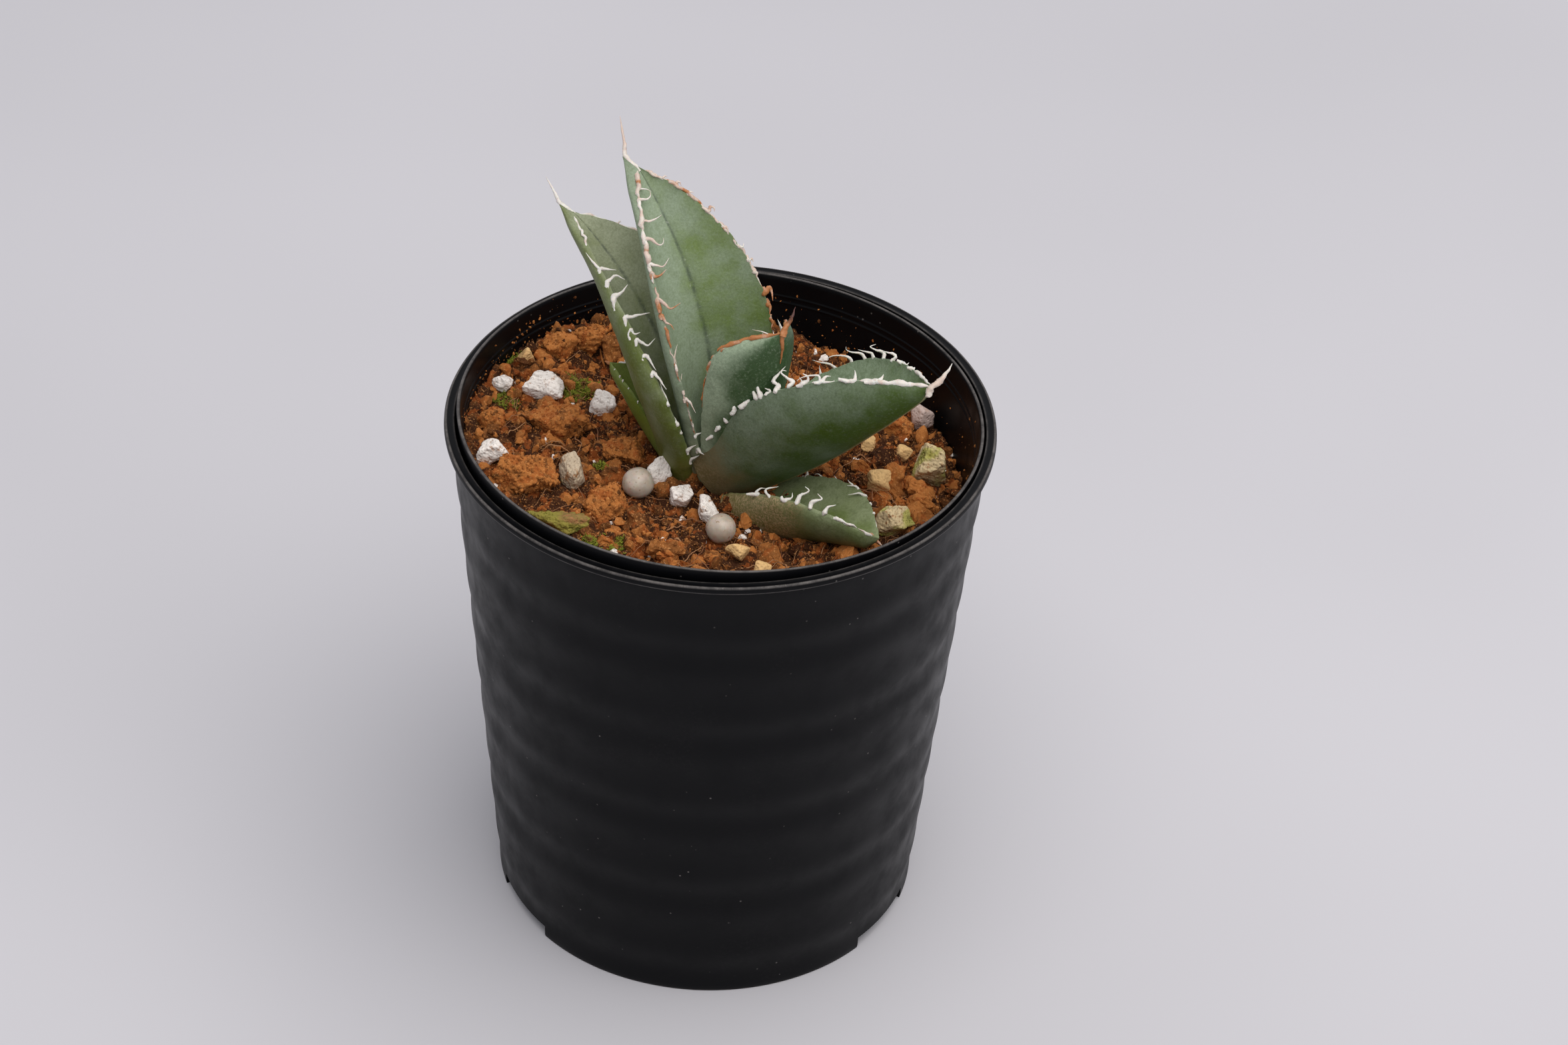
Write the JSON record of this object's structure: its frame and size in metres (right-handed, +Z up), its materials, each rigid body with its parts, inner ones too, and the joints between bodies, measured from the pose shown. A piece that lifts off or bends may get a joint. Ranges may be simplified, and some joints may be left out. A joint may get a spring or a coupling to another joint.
{
  "type": "potted agave",
  "caption": "Young agave rosette with toothed, spine-tipped leaves, growing in a granular mix inside two nested round nursery pots.",
  "frame": {"origin": "centre of the outer pot's foot, on the surface it stands on", "axes": "+Z up along the pot's axis, -Y towards the front, +X to the right seen from the front"},
  "size_m": [0.09, 0.09, 0.1446],
  "materials": {
    "pot_plastic": "satin black, scuffed and dusty",
    "potting_mix": "matte, damp and granular",
    "stem_skin": "matte",
    "leaf_skin": "satin with a waxy grey bloom",
    "perlite_grain": "matte, pitted",
    "stone_pink_grain": "matte",
    "clod_grain": "matte, crumbly",
    "pumice_grain": "matte, pitted",
    "fertiliser_grain": "satin, slightly see-through",
    "moss_clump_grain": "matte",
    "pebble_grain": "matte",
    "stone_mossy_grain": "matte, pitted"
  },
  "bodies": {
    "root": {"outer_pot": "pot_plastic", "inner_pot": "pot_plastic", "stem": "stem_skin", "leaf_center": "leaf_skin", "leaf_tall_back": "leaf_skin", "leaf_left": "leaf_skin", "leaf_right_large": "leaf_skin", "leaf_front_low": "leaf_skin", "leaf_back_low": "leaf_skin", "perlite_1": "perlite_grain", "perlite_2": "perlite_grain", "perlite_3": "perlite_grain", "perlite_4": "perlite_grain", "perlite_5": "perlite_grain", "perlite_6": "perlite_grain", "perlite_7": "perlite_grain", "stone_pink_1": "stone_pink_grain", "clod_1": "clod_grain", "clod_2": "clod_grain", "clod_3": "clod_grain", "clod_4": "clod_grain", "clod_5": "clod_grain", "clod_6": "clod_grain", "clod_7": "clod_grain", "clod_8": "clod_grain", "pumice_1": "pumice_grain", "fertiliser_1": "fertiliser_grain", "fertiliser_2": "fertiliser_grain", "moss_clump_1": "moss_clump_grain", "pebble_1": "pebble_grain", "pebble_2": "pebble_grain", "pebble_3": "pebble_grain", "pebble_4": "pebble_grain", "pebble_5": "pebble_grain", "pebble_6": "pebble_grain", "stone_mossy_1": "stone_mossy_grain", "stone_mossy_2": "stone_mossy_grain", "potting_mix": "potting_mix"}
  },
  "joints": []
}
